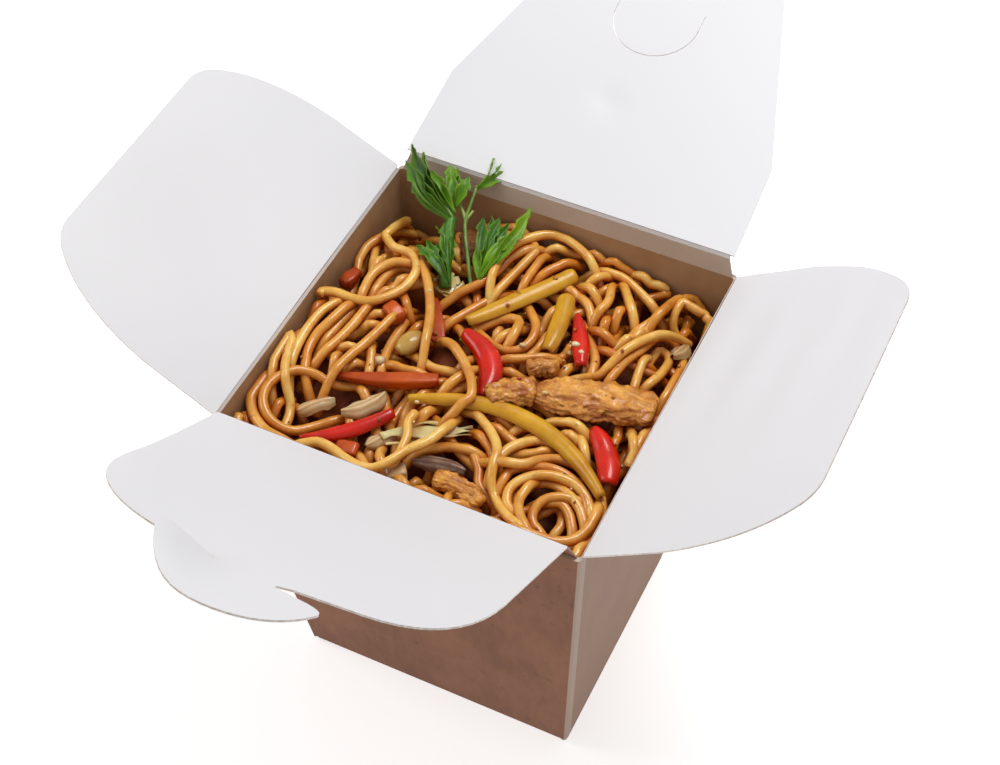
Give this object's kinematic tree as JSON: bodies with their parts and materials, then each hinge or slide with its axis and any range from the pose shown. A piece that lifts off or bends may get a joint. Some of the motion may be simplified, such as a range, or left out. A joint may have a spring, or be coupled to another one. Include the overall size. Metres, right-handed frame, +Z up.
{
  "type": "noodle takeaway box",
  "caption": "Open folded-board takeaway box with hinged lid flaps, filled with fried noodles, vegetable strips, chicken and a parsley sprig.",
  "frame": {"origin": "centre of the carton base, on the surface it stands on", "axes": "+Z up out of the box; -Y towards the long front flap with the tongue; +X to the right seen from the front"},
  "size_m": [0.2004, 0.2602, 0.166],
  "materials": {
    "kraft_board": "matte",
    "white_board": "satin",
    "noodle": "gloss",
    "red_pepper": "gloss",
    "yellow_pepper": "gloss",
    "carrot": "gloss",
    "chicken": "satin",
    "onion": "gloss",
    "purple_onion": "gloss",
    "cabbage": "gloss",
    "mushroom": "gloss",
    "meat": "satin",
    "parsley": "satin"
  },
  "bodies": {
    "box": {"carton": "kraft_board", "noodles": "noodle", "parsley_sprig": "parsley", "red_pepper_1": "red_pepper", "red_pepper_2": "red_pepper", "red_pepper_3": "red_pepper", "red_pepper_4": "red_pepper", "yellow_pepper_1": "yellow_pepper", "yellow_pepper_2": "yellow_pepper", "yellow_pepper_3": "yellow_pepper", "carrot_1": "carrot", "carrot_2": "carrot", "carrot_3": "carrot", "carrot_4": "carrot", "carrot_5": "carrot", "chicken_1": "chicken", "chicken_2": "chicken", "chicken_3": "chicken", "chicken_4": "chicken", "mushroom_1": "mushroom", "onion_1": "onion", "onion_2": "purple_onion", "onion_3": "onion", "onion_4": "onion", "cabbage_1": "cabbage", "cabbage_2": "cabbage", "meat_1": "meat", "onion_5": "onion", "garlic_1": "onion"},
    "left_flap": {"flap_left": "white_board"},
    "right_flap": {"flap_right": "white_board"},
    "front_flap": {"flap_front": "white_board"},
    "back_flap": {"flap_back": "white_board"}
  },
  "joints": [
    {"name": "left flap hinge", "type": "hinge", "parent": "box", "child": "left_flap", "pos_m": [-0.0502, 0, 0.1147], "axis": [0, 1, 0], "range_deg": [-98.6, 151.4], "deforming": ["parsley_sprig"]},
    {"name": "right flap hinge", "type": "hinge", "parent": "box", "child": "right_flap", "pos_m": [0.0502, 0, 0.1147], "axis": [0, -1, 0], "range_deg": [-103.9, 144.6]},
    {"name": "front flap hinge", "type": "hinge", "parent": "box", "child": "front_flap", "pos_m": [0, -0.05115, 0.1197], "axis": [-1, 0, 0], "range_deg": [-102.4, 149.1]},
    {"name": "back flap hinge", "type": "hinge", "parent": "box", "child": "back_flap", "pos_m": [0, 0.05115, 0.1197], "axis": [1, 0, 0], "range_deg": [-84.9, 164.1]}
  ]
}
